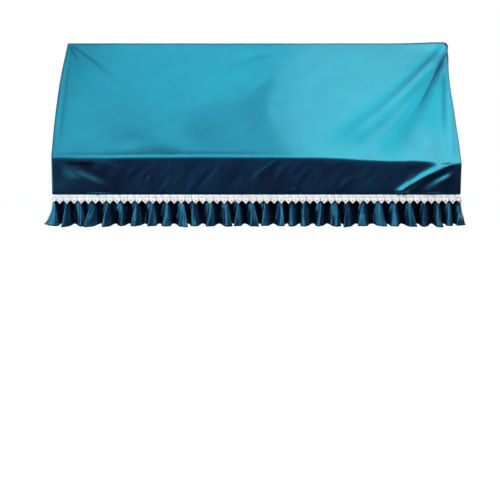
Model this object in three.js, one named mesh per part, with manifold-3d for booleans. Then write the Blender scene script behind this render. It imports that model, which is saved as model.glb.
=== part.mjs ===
// Fitted cloth cover for an upright piano. One main cloth runs from the back hem over the top, down the slope
// above the keyboard and down the front. Two side panels close the ends. A gathered frill with a crocheted
// lace edging over it is sewn to the hem of the front and both sides. The cover is hollow and open below.
import * as THREE from "three";
import { mergeVertices } from "three/addons/utils/BufferGeometryUtils.js";
import Module from "manifold-3d";

const wasm = await Module();
wasm.setup();

// Driving dimensions, in millimetres. The origin is the middle of the underside of the top, where the cover
// rests. The front faces -Y and the left end, seen from the front, is at -X.
const coverWidth = 1520;
const topDepth = 350;
const keyboardReach = 280;
const slopeDrop = 455;
const frontDrop = 135;
const clothThickness = 2;
const seamGap = 0.3;
const seamMargin = 14;
const topEdgeRadius = 12;
const keyboardEdgeRadius = 16;
const arcSteps = 3;

// The hanging cloth: the slope sags between its two edges, and the end seams bow out or in beside it. The top
// has shifted a little to the right, and the keyboard edge has slipped down towards its right end. Folds die out
// over the ease beside a seam or hem, and the flat is the strip there that has none.
const slopeSag = 12;
const leftSeamBow = 9;
const rightSeamBow = -13;
const bowSkew = 0.8;
const topShift = 6;
const shiftFades = 0.8;
const backEaseFrom = 400;
const backEaseTo = 900;
const edgeSlip = 21;
const slipFrom = 220;
const slipTo = 740;
const slipStart = 0.35;
const seamEase = 45;
const hemFlat = 6;
const hemEase = 34;
const sideBowFade = 1.5;
const sideBowEase = 150;
const sideEdgeFlat = 20;
const sideEdgeEase = 60;

// Frill: a gathered strip whose flutes grow from the seam to its hem.
const frillDrop = 117.5;
const frillThickness = 2;
const frillCornerRadius = 12;
const frillSeamGap = 0.5;
const frillFlare = 12;
const gatherAtSeam = 2;
const gatherAtHem = 12;
const deepestFlute = 1.2;
const cornerFlute = 0.8;
const fluteLift = 8;
const sideFlutePitch = 51;
const sideFluteShift = 5;
const sideFluteSway = 7;
const sideFluteUnevenness = 0.12;
const leftSway = 0.7;
const columnsPerFlute = 6;
const frillRows = [0, 0.45, 1];
const hemSpread = 3;

// Lace: a straight band with a row of teeth below it and an eyelet at the root of each tooth.
const laceThickness = 1.2;
const laceBand = 21.5;
const laceDrop = 34;
const laceTooth = 26.7;
const toothTip = 0.22;
const eyeletRadius = 2.8;
const eyeletDepth = 21.5;
const eyeletSides = 6;
const eyeletCut = 7;

// Sizes that follow from these.
const halfWidth = coverWidth / 2;
const topFront = -topDepth / 2;
const topRear = topDepth / 2;
const frontFace = topFront - keyboardReach;
const hemLevel = -slopeDrop - frontDrop;
const slopeLength = Math.hypot(keyboardReach, slopeDrop);
const fullTurn = 2 * Math.PI;

// Folds of the slope and the front. x runs to the right from the middle. down runs over the cloth from the
// top's front edge, along the slope and on down the front. A height below zero is a trough, above it a ridge.
const mainFolds = [
  { x: 750, down: 8, toX: 330, toDown: 470, width: 34, height: 9 },
  { x: 750, down: 8, toX: 410, toDown: 500, width: 26, height: -8 },
  { x: 752, down: 8, toX: 500, toDown: 520, width: 32, height: 10 },
  { x: 752, down: 20, toX: 625, toDown: 330, width: 20, height: -12 },
  { x: 745, down: 60, toX: 700, toDown: 480, width: 22, height: 8 },
  { x: -748, down: 8, toX: -510, toDown: 230, width: 26, height: -8 },
  { x: -748, down: 8, toX: -650, toDown: 280, width: 24, height: 6 },
  { x: -735, down: 40, toX: -715, toDown: 480, width: 22, height: -5 },
  { x: 110, down: 40, toX: -150, toDown: 430, width: 90, height: -9 },
  { x: 240, down: 60, toX: 130, toDown: 480, width: 110, height: 8 },
  { x: -300, down: 60, toX: -420, toDown: 420, width: 110, height: 7 },
  { x: 752, down: 540, toX: 500, toDown: 664, width: 14, height: 11 },
  { x: 715, down: 575, toX: 610, toDown: 650, width: 12, height: 6 },
  { x: -725, down: 555, toX: -590, toDown: 625, width: 15, height: 7 },
  { x: -390, down: 565, toX: -450, toDown: 640, width: 14, height: 4 },
  { x: 120, down: 590, toX: -10, toDown: 660, width: 16, height: 5 },
];

// Upright folds of the side panels. y runs backwards from the middle of the top.
const sideFolds = [
  { y: -330, width: 45, height: 5 },
  { y: -190, width: 38, height: -6 },
  { y: -70, width: 50, height: 5 },
  { y: 70, width: 44, height: -4 },
];

// Flutes of the frill along the front: the crest's place from the middle at the seam, its depth beside the
// usual one, and how far it leans to the right by the hem.
const frontFlutes = [
  { at: -704, depth: 1.05, lean: -8 },
  { at: -659, depth: 0.85, lean: 2 },
  { at: -611, depth: 1.0, lean: -12 },
  { at: -552, depth: 1.0, lean: -8 },
  { at: -507, depth: 0.9, lean: -10 },
  { at: -445, depth: 1.05, lean: -6 },
  { at: -388, depth: 0.95, lean: 3 },
  { at: -336, depth: 1.1, lean: 4 },
  { at: -281, depth: 0.9, lean: 6 },
  { at: -232, depth: 1.0, lean: -6 },
  { at: -169, depth: 1.1, lean: -8 },
  { at: -110, depth: 0.95, lean: 10 },
  { at: -69, depth: 0.9, lean: 10 },
  { at: -18, depth: 1.0, lean: 6 },
  { at: 35, depth: 0.9, lean: 5 },
  { at: 91, depth: 1.15, lean: 6 },
  { at: 137, depth: 0.85, lean: 5 },
  { at: 182, depth: 1.0, lean: -5 },
  { at: 242, depth: 1.1, lean: -10 },
  { at: 292, depth: 0.95, lean: 2 },
  { at: 344, depth: 1.0, lean: -6 },
  { at: 403, depth: 1.05, lean: 2 },
  { at: 459, depth: 0.85, lean: 4 },
  { at: 515, depth: 1.0, lean: 10 },
  { at: 574, depth: 1.05, lean: 8 },
  { at: 630, depth: 0.95, lean: 2 },
  { at: 684, depth: 1.1, lean: 6 },
];

const velvet = new THREE.MeshStandardMaterial({ color: 0x1f7f9f, roughness: 0.5, metalness: 0 });
const cotton = new THREE.MeshStandardMaterial({ color: 0xf2f0ee, roughness: 0.9, metalness: 0 });

const lerp = THREE.MathUtils.lerp;
const clamp = THREE.MathUtils.clamp;
const smooth = THREE.MathUtils.smoothstep;

// A closed sheet of even thickness around a grid of points on its middle surface.
function sheetGeometry(points, thickness) {
  const rows = points.length;
  const columns = points[0].length;
  const positions = [];
  const triangles = [];
  const normalAt = (row, column) => {
    const before = points[row][Math.max(column - 1, 0)];
    const after = points[row][Math.min(column + 1, columns - 1)];
    const above = points[Math.max(row - 1, 0)][column];
    const below = points[Math.min(row + 1, rows - 1)][column];
    const across = after.clone().sub(before);
    const along = below.clone().sub(above);
    return across.cross(along).normalize();
  };
  for (const side of [0.5, -0.5]) {
    for (let row = 0; row < rows; row++) {
      for (let column = 0; column < columns; column++) {
        const point = points[row][column].clone();
        point.addScaledVector(normalAt(row, column), side * thickness);
        positions.push(point.x, point.y, point.z);
      }
    }
  }
  const outer = (row, column) => row * columns + column;
  const inner = (row, column) => rows * columns + outer(row, column);
  const quad = (a, b, c, d) => triangles.push(a, b, c, a, c, d);
  for (let row = 0; row + 1 < rows; row++) {
    for (let column = 0; column + 1 < columns; column++) {
      quad(outer(row, column), outer(row, column + 1), outer(row + 1, column + 1), outer(row + 1, column));
      quad(inner(row, column), inner(row + 1, column), inner(row + 1, column + 1), inner(row, column + 1));
    }
    const last = columns - 1;
    quad(outer(row, 0), outer(row + 1, 0), inner(row + 1, 0), inner(row, 0));
    quad(outer(row, last), inner(row, last), inner(row + 1, last), outer(row + 1, last));
  }
  for (let column = 0; column + 1 < columns; column++) {
    const last = rows - 1;
    quad(outer(0, column), inner(0, column), inner(0, column + 1), outer(0, column + 1));
    quad(outer(last, column), outer(last, column + 1), inner(last, column + 1), inner(last, column));
  }
  const geometry = new THREE.BufferGeometry();
  geometry.setAttribute("position", new THREE.Float32BufferAttribute(positions, 3));
  geometry.setIndex(triangles);
  geometry.computeVertexNormals();
  return geometry;
}

// A geometry as a solid for cutting, and a solid back as a geometry.
function solidOf(geometry) {
  const bare = geometry.clone();
  bare.deleteAttribute("normal");
  bare.deleteAttribute("uv");
  const merged = mergeVertices(bare);
  const mesh = new wasm.Mesh({
    numProp: 3,
    vertProperties: new Float32Array(merged.attributes.position.array),
    triVerts: new Uint32Array(merged.index.array),
  });
  return new wasm.Manifold(mesh);
}

function geometryOf(solid) {
  const mesh = solid.getMesh();
  const geometry = new THREE.BufferGeometry();
  geometry.setAttribute("position", new THREE.BufferAttribute(mesh.vertProperties, 3));
  geometry.setIndex(new THREE.BufferAttribute(mesh.triVerts, 1));
  geometry.computeVertexNormals();
  return geometry;
}

// The cover's outline seen from its end, as stations on the cloth's middle surface. Each holds its place, the
// cloth's outward normal and down, its distance over the cloth from the top's front edge.
function endOutline(inset) {
  const middle = clothThickness / 2;
  const corners = [
    { y: topRear - middle, z: hemLevel, radius: 0, stepsAfter: 4 },
    { y: topRear - middle, z: middle, radius: topEdgeRadius, stepsAfter: 3 },
    { y: topFront + middle, z: middle, radius: topEdgeRadius, stepsAfter: 11 },
    { y: frontFace + middle, z: middle - slopeDrop, radius: keyboardEdgeRadius, stepsAfter: 5 },
    { y: frontFace + middle, z: hemLevel, radius: 0, stepsAfter: 0 },
  ];
  const legs = corners.slice(1).map((corner, i) => {
    const start = new THREE.Vector2(corners[i].y, corners[i].z);
    const way = new THREE.Vector2(corner.y, corner.z).sub(start);
    const length = way.length();
    const heading = (Math.atan2(way.y, way.x) + fullTurn) % fullTurn;
    return { start, way: way.normalize(), length, heading };
  });
  const cornerTrim = corners.map((corner, i) => {
    if (i === 0 || i === corners.length - 1) return 0;
    return corner.radius * Math.tan((legs[i].heading - legs[i - 1].heading) / 2);
  });
  const downAtLegStart = [-legs[0].length - legs[1].length, -legs[1].length, 0, legs[2].length];
  const stations = [];
  const addStation = (point, heading, down, corner) => {
    const normal = new THREE.Vector2(Math.sin(heading), -Math.cos(heading));
    const place = point.clone().addScaledVector(normal, -inset);
    stations.push({ y: place.x, z: place.y, normalY: normal.x, normalZ: normal.y, down, corner });
  };
  legs.forEach((leg, i) => {
    const from = cornerTrim[i];
    const to = leg.length - cornerTrim[i + 1];
    for (let step = 0; step <= corners[i].stepsAfter; step++) {
      const along = lerp(from, to, step / corners[i].stepsAfter);
      const point = leg.start.clone().addScaledVector(leg.way, along);
      addStation(point, leg.heading, downAtLegStart[i] + along, false);
    }
    if (i + 1 === legs.length) return;
    const turn = legs[i + 1].heading - leg.heading;
    const radius = corners[i + 1].radius;
    const centre = leg.start.clone().addScaledVector(leg.way, to);
    centre.add(new THREE.Vector2(-Math.sin(leg.heading), Math.cos(leg.heading)).multiplyScalar(radius));
    for (let step = 1; step < arcSteps; step++) {
      const heading = leg.heading + (turn * step) / arcSteps;
      const spoke = new THREE.Vector2(Math.sin(heading), -Math.cos(heading)).multiplyScalar(radius);
      addStation(centre.clone().add(spoke), heading, downAtLegStart[i + 1], true);
    }
  });
  return stations;
}

// How far the end seam stands out from the straight end, at a distance down the slope.
function seamBow(side, down) {
  const share = clamp(down / slopeLength, 0, 1);
  const bow = side < 0 ? leftSeamBow : rightSeamBow;
  const shift = topShift * (1 - smooth(share, 0, shiftFades)) * (1 - smooth(-down, backEaseFrom, backEaseTo));
  return bow * Math.sin(Math.PI * Math.pow(share, bowSkew)) + Math.sign(side) * shift;
}

// How far the cloth has slipped down at a place: most at the right end of the keyboard edge.
function slipAt(x, down) {
  const onSlope = smooth(down, slipStart * slopeLength, slopeLength);
  const onFront = 1 - smooth(down, slopeLength, slopeLength + frontDrop);
  return edgeSlip * smooth(x, slipFrom, slipTo) * onSlope * onFront;
}

// Height of one fold at a place on the cloth: highest midway along it and round across it.
function foldHeight(fold, x, down) {
  const along = new THREE.Vector2(fold.toX - fold.x, fold.toDown - fold.down);
  const length = along.length();
  along.divideScalar(length);
  const away = new THREE.Vector2(x - fold.x, down - fold.down);
  const share = along.dot(away) / length;
  if (share <= 0 || share >= 1) return 0;
  const across = along.cross(away) / fold.width;
  return fold.height * Math.sin(Math.PI * share) * Math.exp(-across * across);
}

// How far the main cloth stands off its plain outline.
function mainRelief(x, down) {
  if (down <= 0) return 0;
  const inFromSeam = halfWidth - Math.abs(x);
  const freeOfSeam = smooth(inFromSeam, seamMargin, seamMargin + seamEase);
  const freeOfHem = smooth(slopeLength + frontDrop - down, hemFlat, hemFlat + hemEase);
  const share = clamp(down / slopeLength, 0, 1);
  const sag = -slopeSag * Math.sin(Math.PI * share);
  const folds = mainFolds.reduce((sum, fold) => sum + foldHeight(fold, x, down), 0);
  return freeOfSeam * freeOfHem * (sag + folds);
}

// Main cloth: back, top, slope and front in one length, between the two end seams.
function mainPanel() {
  const innerColumns = 28;
  const crowding = 0.75;
  const atMargin = 1 - seamMargin / halfWidth;
  const shares = [-1];
  for (let i = 0; i <= innerColumns; i++) {
    const even = lerp(-1, 1, i / innerColumns);
    shares.push(atMargin * Math.sign(even) * Math.pow(Math.abs(even), crowding));
  }
  shares.push(1);
  const points = endOutline(0).map((station) =>
    shares.map((share) => {
      const x = share * (halfWidth + seamBow(share, station.down));
      const relief = station.corner ? 0 : mainRelief(x, station.down);
      const z = station.z + station.normalZ * relief - slipAt(x, station.down);
      return new THREE.Vector3(x, station.y + station.normalY * relief, z);
    }),
  );
  return sheetGeometry(points, clothThickness);
}

// How far a side panel stands out at a station of its top seam and a share of the way down to the hem.
function sideRelief(side, station, share) {
  const belowSeam = lerp(1, smooth(topFront - station.y, 0, sideBowEase), smooth(share, 0, 0.5));
  const bow = seamBow(side, station.down) * belowSeam * Math.pow(1 - share, sideBowFade);
  const waves = sideFolds.reduce((sum, fold) => {
    const across = (station.y - fold.y) / fold.width;
    return sum + fold.height * Math.exp(-across * across);
  }, 0);
  const fromEdge = Math.min(station.y - frontFace, topRear - station.y);
  const freeOfEdges = smooth(fromEdge, sideEdgeFlat, sideEdgeFlat + sideEdgeEase);
  return bow + waves * freeOfEdges * Math.pow(Math.sin(Math.PI * share), 2);
}

// Side panel: hangs from the end seam of the top and the slope, inside the main cloth's edge.
function sidePanel(side) {
  const rows = 6;
  const outline = endOutline(clothThickness / 2 + seamGap);
  const first = outline.findIndex((station) => station.corner) - 1;
  const last = outline.findLastIndex((station) => station.corner) + 1;
  const seam = outline.slice(first, last + 1);
  const points = [];
  for (let row = 0; row <= rows; row++) {
    const share = row / rows;
    points.push(
      seam.map((station) => {
        const x = side * (halfWidth - clothThickness / 2 + sideRelief(side, station, share));
        const seamLevel = station.z - slipAt(side * halfWidth, station.down);
        return new THREE.Vector3(x, station.y, lerp(seamLevel, hemLevel, share));
      }),
    );
  }
  return sheetGeometry(points, clothThickness);
}

// The hem seen from above: place is the distance along it from the middle of the front, negative to the left,
// and out is the distance outwards from the cloth's outer face.
const hemStraight = halfWidth - frillCornerRadius;
const hemCorner = (Math.PI / 2) * frillCornerRadius;
const hemSide = topRear - clothThickness - (frontFace + frillCornerRadius);
const hemHalf = hemStraight + hemCorner + hemSide;

function hemPoint(place, out, z) {
  const side = Math.sign(place) || 1;
  const along = Math.abs(place);
  const radius = frillCornerRadius + out;
  if (along <= hemStraight) return new THREE.Vector3(place, frontFace - out, z);
  const turn = Math.min((along - hemStraight) / frillCornerRadius, Math.PI / 2);
  const back = Math.max(along - hemStraight - hemCorner, 0);
  const x = hemStraight + radius * Math.sin(turn);
  const y = frontFace + frillCornerRadius - radius * Math.cos(turn) + back;
  return new THREE.Vector3(side * x, y, z);
}

// Every flute of the frill, from the rear left end round the front to the rear right end.
function allFlutes() {
  const cornerAt = hemStraight + hemCorner / 2;
  const count = Math.floor((hemHalf - cornerAt) / sideFlutePitch);
  const right = [{ at: cornerAt, depth: cornerFlute, lean: 0 }];
  for (let i = 1; i <= count; i++) {
    const at = cornerAt + i * sideFlutePitch - sideFluteShift;
    const depth = 1 + sideFluteUnevenness * Math.sin(i * 2.3);
    right.push({ at, depth, lean: sideFluteSway * Math.sin(i * 1.7) });
  }
  const left = right.map((flute) => ({ at: -flute.at, depth: flute.depth, lean: -flute.lean * leftSway }));
  return [...left.reverse(), ...frontFlutes, ...right];
}

// The frill's columns: for each, its place at the seam and at the hem, and its wave from -1 in a trough to 1.
function frillColumns() {
  const flutes = allFlutes();
  const columns = [];
  flutes.forEach((flute, i) => {
    const left = i > 0 ? (flutes[i - 1].at + flute.at) / 2 : -hemHalf;
    const right = i + 1 < flutes.length ? (flute.at + flutes[i + 1].at) / 2 : hemHalf;
    const half = columnsPerFlute / 2;
    for (let step = -half; step < half; step++) {
      const share = step / half;
      const at = share < 0 ? lerp(flute.at, left, -share) : lerp(flute.at, right, share);
      const crest = (1 + Math.cos(Math.PI * share)) / 2;
      columns.push({ at, lean: flute.lean * crest, wave: flute.depth * Math.cos(Math.PI * share) });
    }
  });
  columns.push({ at: hemHalf, lean: 0, wave: -1 });
  return columns;
}

// Frill: its flutes widen evenly under the lace, and a little more from there to the hem.
function frill() {
  const columns = frillColumns();
  const inset = gatherAtSeam * deepestFlute + frillThickness / 2;
  const points = frillRows.map((share) => {
    const gather = lerp(gatherAtSeam, gatherAtHem, share) + hemSpread * smooth(share, frillRows[1], 1);
    return columns.map((column) => {
      const place = clamp(column.at + column.lean * share, -hemHalf, hemHalf);
      const out = frillFlare * share + gather * column.wave - inset;
      const lift = fluteLift * share * clamp((1 - column.wave) / 2, 0, 1);
      return hemPoint(place, out, hemLevel - frillSeamGap - share * frillDrop + lift);
    });
  });
  return sheetGeometry(points, frillThickness);
}

// Lace edging: lies on the crests of the frill and leans out with them.
const laceLean = (frillFlare + (gatherAtHem - gatherAtSeam) * deepestFlute) / frillDrop;
const lacePoint = (place, below) =>
  hemPoint(place, seamGap + laceThickness / 2 + laceLean * below, hemLevel - frillSeamGap - below);

function laceEdging() {
  const teeth = Math.round((2 * hemHalf) / laceTooth);
  const pitch = (2 * hemHalf) / teeth;
  const toothOutline = [
    { at: 0, below: laceBand },
    { at: 0.5 - toothTip / 2, below: laceDrop },
    { at: 0.5 + toothTip / 2, below: laceDrop },
  ];
  const points = [[], []];
  const addColumn = (place, below) => {
    points[0].push(lacePoint(place, 0));
    points[1].push(lacePoint(place, below));
  };
  for (let tooth = 0; tooth < teeth; tooth++) {
    toothOutline.forEach((corner) => addColumn(-hemHalf + (tooth + corner.at) * pitch, corner.below));
  }
  addColumn(hemHalf, laceBand);
  let lace = solidOf(sheetGeometry(points, laceThickness));
  for (let tooth = 0; tooth < teeth; tooth++) {
    lace = lace.subtract(eyeletCutter(-hemHalf + (tooth + 0.5) * pitch));
  }
  return geometryOf(lace);
}

// A short prism through the lace at the root of a tooth, square to the lace.
function eyeletCutter(place) {
  const centre = lacePoint(place, eyeletDepth);
  const downLace = lacePoint(place, laceDrop).sub(centre).normalize();
  const outwards = hemPoint(place, 1, centre.z).sub(hemPoint(place, 0, centre.z));
  const normal = outwards.addScaledVector(downLace, -outwards.dot(downLace)).normalize();
  const cutter = new THREE.CylinderGeometry(eyeletRadius, eyeletRadius, eyeletCut, eyeletSides);
  cutter.applyQuaternion(new THREE.Quaternion().setFromUnitVectors(new THREE.Vector3(0, 1, 0), normal));
  cutter.translate(centre.x, centre.y, centre.z);
  return solidOf(cutter);
}

function piece(name, geometry, material) {
  const mesh = new THREE.Mesh(geometry, material);
  mesh.name = name;
  return mesh;
}

const cover = new THREE.Group();
cover.add(piece("main_panel", mainPanel(), velvet));
cover.add(piece("side_panel_left", sidePanel(-1), velvet));
cover.add(piece("side_panel_right", sidePanel(1), velvet));
cover.add(piece("frill", frill(), velvet));
cover.add(piece("lace_edging", laceEdging(), cotton));

export default cover;
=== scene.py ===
import math

import bpy
import numpy as np
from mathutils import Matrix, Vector


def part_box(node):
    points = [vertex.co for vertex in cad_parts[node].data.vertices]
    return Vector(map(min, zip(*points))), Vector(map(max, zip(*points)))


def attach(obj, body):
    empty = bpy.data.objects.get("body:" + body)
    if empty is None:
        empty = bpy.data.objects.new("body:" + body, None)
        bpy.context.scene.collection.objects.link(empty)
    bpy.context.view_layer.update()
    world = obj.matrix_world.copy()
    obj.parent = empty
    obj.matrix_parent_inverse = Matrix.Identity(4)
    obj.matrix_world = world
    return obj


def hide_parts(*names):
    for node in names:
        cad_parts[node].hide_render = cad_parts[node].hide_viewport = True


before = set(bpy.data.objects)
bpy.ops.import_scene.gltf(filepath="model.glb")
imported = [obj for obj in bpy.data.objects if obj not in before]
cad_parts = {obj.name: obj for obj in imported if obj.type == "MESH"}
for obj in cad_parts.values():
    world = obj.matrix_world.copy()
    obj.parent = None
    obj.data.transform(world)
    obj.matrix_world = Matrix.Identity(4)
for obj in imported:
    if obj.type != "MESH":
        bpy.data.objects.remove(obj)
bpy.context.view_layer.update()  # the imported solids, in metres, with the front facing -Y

print("frame loaded:", ", ".join(sorted(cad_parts)))

# Sizes of the cover, some of them read from the solids
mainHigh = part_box("main_panel")[1]
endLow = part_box("side_panel_left")[0]

cover = {
    "halfWidth": 0.760,  # from the middle to the end seams, without their bow
    "rearY": mainHigh.y,
    "topFrontY": -mainHigh.y,
    "frontY": -0.455,
    "topZ": mainHigh.z,
    "edgeZ": -0.4535,  # where the slope turns down into the front
    "hemZ": endLow.z,
    "topRadius": 0.010,
    "edgeRadius": 0.018,
    "thickness": 0.002,
    "floorZ": -1.22,
}

# How the cloth hangs between its edges
hang = {
    "leftBow": 0.006,  # the end seams bow out at the left and in at the right
    "rightBow": -0.013,
    "bowSkew": 0.8,
    "leftSag": 0.012,
    "rightSag": 0.007,
    "sagTurn": (-0.15, 0.25),  # from the left sag to the right one, in x
    "sagEase": 0.26,
    # how far the lower edge of the slope slips down, and from x to x
    "droops": ((0.003, -0.80, -0.66), (-0.0035, -0.62, -0.36), (0.013, 0.22, 0.52), (0.009, 0.60, 0.70)),
    "droopStart": 0.35,  # share of the slope
    "topShift": 0.006,  # the top sits a little to the right
    "shiftEnd": 0.8,  # share of the slope where that is gone
    "shiftBehind": (0.4, 0.9),  # and where it goes on the back
    # where the end seams are drawn in or out: end, how far in, place down the seam, and within what length
    "pinches": ((1, 0.006, 0.0, 0.007), (1, 0.004, 0.05, 0.02), (1, -0.006, 0.32, 0.09),
                (1, -0.005, 0.44, 0.07), (-1, 0.005, 0.0, 0.12)),
    # the top's right corner stands up: height, x, and within what x and down
    "peak": (0.005, 0.755, 0.12, 0.03),
    "seamEase": (0.006, 0.045),  # where folds fade out toward the end seams
    "hemRoll": 0.004,
    "hemRollHeight": 0.012,
}


def smoothStep(value, low, high):
    share = np.clip((np.asarray(value, float) - low) / (high - low), 0, 1)
    return share * share * (3 - 2 * share)


def raised(value, amount, low, high):
    return amount * smoothStep(value, low, high)


def blend(first, second, share):
    return first + (second - first) * share


def softNoise(across, along, size, seed):
    # uneven values from -1 to 1 in soft patches of about this size
    cells = 97
    lattice = np.random.default_rng(seed).uniform(-1, 1, (cells, cells))
    u, v = np.asarray(across, float) / size, np.asarray(along, float) / size
    i, j = np.floor(u).astype(int), np.floor(v).astype(int)
    fu, fv = smoothStep(u - i, 0, 1), smoothStep(v - j, 0, 1)

    def pick(a, b):
        return lattice[a % cells, b % cells]

    upper = blend(pick(i, j), pick(i + 1, j), fu)
    lower = blend(pick(i, j + 1), pick(i + 1, j + 1), fu)
    return blend(upper, lower, fv)


def endOutline(inset, legSteps, arcSteps):
    # walks the end of the cover from the back hem over the top to the front hem
    corners = [
        (cover["rearY"], cover["hemZ"], 0),
        (cover["rearY"], cover["topZ"], cover["topRadius"]),
        (cover["topFrontY"], cover["topZ"], cover["topRadius"]),
        (cover["frontY"], cover["edgeZ"], cover["edgeRadius"]),
        (cover["frontY"], cover["hemZ"], 0),
    ]
    places = [np.array(corner[:2]) for corner in corners]
    ways = [b - a for a, b in zip(places, places[1:])]
    headings = [math.atan2(way[1], way[0]) % math.tau for way in ways]
    ways = [way / np.linalg.norm(way) for way in ways]
    turns = [b - a for a, b in zip(headings, headings[1:])]
    trims = [0] + [corners[i + 1][2] * math.tan(turn / 2) for i, turn in enumerate(turns)] + [0]
    points, normals, legs = [], [], []

    def add(point, heading, leg):
        normal = np.array((math.sin(heading), -math.cos(heading)))
        points.append(point - normal * inset)
        normals.append(normal)
        legs.append(leg)

    for leg, way in enumerate(ways):
        start, end = places[leg] + way * trims[leg], places[leg + 1] - way * trims[leg + 1]
        for step in range(legSteps[leg] + 1):
            add(blend(start, end, step / legSteps[leg]), headings[leg], leg)
        if leg < len(turns):
            radius = corners[leg + 1][2]
            centre = end + radius * np.array((-math.sin(headings[leg]), math.cos(headings[leg])))
            for step in range(1, arcSteps):
                heading = headings[leg] + turns[leg] * step / arcSteps
                spoke = radius * np.array((math.sin(heading), -math.cos(heading)))
                add(centre + spoke, heading, leg + 0.5)
    points, normals, legs = np.array(points), np.array(normals), np.array(legs)
    lengths = np.concatenate([[0], np.cumsum(np.linalg.norm(np.diff(points, axis=0), axis=1))])
    down = lengths - lengths[legs == 1.5].mean()  # zero at the front edge of the top
    return {"points": points, "normals": normals, "legs": legs, "down": down}


slopeLength = math.hypot(cover["frontY"] - cover["topFrontY"], cover["edgeZ"] - cover["topZ"])
frontLength = cover["edgeZ"] - cover["hemZ"]


def seamBow(side, down):
    share = np.clip(down / slopeLength, 0, 1)
    bow = np.where(side < 0, hang["leftBow"], hang["rightBow"]) * np.sin(math.pi * share ** hang["bowSkew"])
    shift = hang["topShift"] * (1 - smoothStep(share, 0, hang["shiftEnd"]))
    shift = shift * (1 - smoothStep(-down, *hang["shiftBehind"]))
    drawn = 0
    for end, depth, at, within in hang["pinches"]:
        drawn = drawn + np.where(side * end > 0, depth * np.exp(-(((down - at) / within) ** 2)), 0)
    return bow + np.sign(side) * shift - drawn


def edgeDroop(x, down):
    slipped = sum(depth * smoothStep(x, start, end) for depth, start, end in hang["droops"])
    onSlope = smoothStep(down, slopeLength * hang["droopStart"], slopeLength)
    onFront = 1 - smoothStep(down, slopeLength, slopeLength + frontLength)
    return slipped * onSlope * onFront


def addObject(name, data):
    piece = bpy.data.objects.new(name, data)
    bpy.context.scene.collection.objects.link(piece)
    return piece


def clothObject(name, points, cloth, pile, thickness, face, back):
    # a grid of points as a sheet, thickened inwards, with its own flat sizes as the UV map
    # and the lie of its pile, with any painted light and shade, as attributes
    rows, columns = points.shape[:2]
    index = np.arange(rows * columns).reshape(rows, columns)
    quads = np.stack([index[:-1, :-1], index[1:, :-1], index[1:, 1:], index[:-1, 1:]], axis=-1)
    mesh = bpy.data.meshes.new(name)
    mesh.from_pydata(points.reshape(-1, 3).tolist(), [], quads.reshape(-1, 4).tolist())
    layer = mesh.uv_layers.new(name="flat")
    corners = np.zeros(len(mesh.loops), np.int32)
    mesh.loops.foreach_get("vertex_index", corners)
    layer.data.foreach_set("uv", cloth.reshape(-1, 2)[corners].astype(np.float32).ravel())
    for label, values in pile.items():
        values = np.broadcast_to(values, points.shape[:2]).astype(np.float32)
        mesh.attributes.new(label, "FLOAT", "POINT").data.foreach_set("value", values.ravel())
    mesh.polygons.foreach_set("use_smooth", np.ones(len(mesh.polygons), bool))
    for material in (face, back):
        mesh.materials.append(material)
    piece = addObject(name, mesh)
    solidify = piece.modifiers.new("thickness", "SOLIDIFY")
    solidify.thickness = thickness
    solidify.offset = -1
    solidify.material_offset = 1
    return piece


# Shader group that the velvet and the cotton share


def newGroup(name, inputs, outputs):
    group = bpy.data.node_groups.new(name, "ShaderNodeTree")
    for label, value in inputs.items():
        socket = group.interface.new_socket(label, in_out="INPUT", socket_type="NodeSocketFloat")
        socket.default_value = value
    for label in outputs:
        group.interface.new_socket(label, in_out="OUTPUT", socket_type="NodeSocketFloat")
    nodes = group.nodes
    return group, nodes, group.links, nodes.new("NodeGroupInput"), nodes.new("NodeGroupOutput")


def setInputs(node, values):
    for label, value in values.items():
        node.inputs[label].default_value = value


def makeFibreGroup():
    # fine fibres and soft brushed patches, for pile and yarn
    group, nodes, links, inputs, outputs = newGroup(
        "fibreSurface", {"Fibre Scale": 900.0, "Brush Scale": 6.0}, ["Fibre", "Brush"]
    )
    coordinates = nodes.new("ShaderNodeTexCoord")
    fibre = nodes.new("ShaderNodeTexNoise")
    setInputs(fibre, {"Detail": 2})
    links.new(coordinates.outputs["Object"], fibre.inputs["Vector"])
    links.new(inputs.outputs["Fibre Scale"], fibre.inputs["Scale"])
    links.new(fibre.outputs["Fac"], outputs.inputs["Fibre"])
    stretch = nodes.new("ShaderNodeMapping")
    setInputs(stretch, {"Scale": (1.6, 0.8, 0.8)})
    brush = nodes.new("ShaderNodeTexNoise")
    setInputs(brush, {"Detail": 4, "Roughness": 0.55, "Distortion": 0.6})
    links.new(coordinates.outputs["Object"], stretch.inputs["Vector"])
    links.new(stretch.outputs["Vector"], brush.inputs["Vector"])
    links.new(inputs.outputs["Brush Scale"], brush.inputs["Scale"])
    links.new(brush.outputs["Fac"], outputs.inputs["Brush"])
    return group


fibreGroup = makeFibreGroup()


def newMaterial(name):
    material = bpy.data.materials.new(name)
    material.use_nodes = True
    nodes, links = material.node_tree.nodes, material.node_tree.links
    return material, nodes, links, nodes["Principled BSDF"]


def placeFibres(nodes, finish):
    node = nodes.new("ShaderNodeGroup")
    node.node_tree = fibreGroup
    setInputs(node, {"Fibre Scale": finish["fibres"], "Brush Scale": finish["patches"]})
    return node


def rampOf(nodes, links, factor, stops):
    ramp = nodes.new("ShaderNodeValToRGB")
    elements = ramp.color_ramp.elements
    while len(elements) < len(stops):
        elements.new(0.5)
    for element, (place, colour) in zip(elements, stops):
        element.position = place
        element.color = (*colour, 1)
    links.new(factor, ramp.inputs["Fac"])
    return ramp.outputs["Color"]


def rangeOf(nodes, links, value, fromLow, fromHigh, low, high):
    node = nodes.new("ShaderNodeMapRange")
    setInputs(node, {"From Min": fromLow, "From Max": fromHigh, "To Min": low, "To Max": high})
    links.new(value, node.inputs["Value"])
    return node.outputs["Result"]


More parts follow.
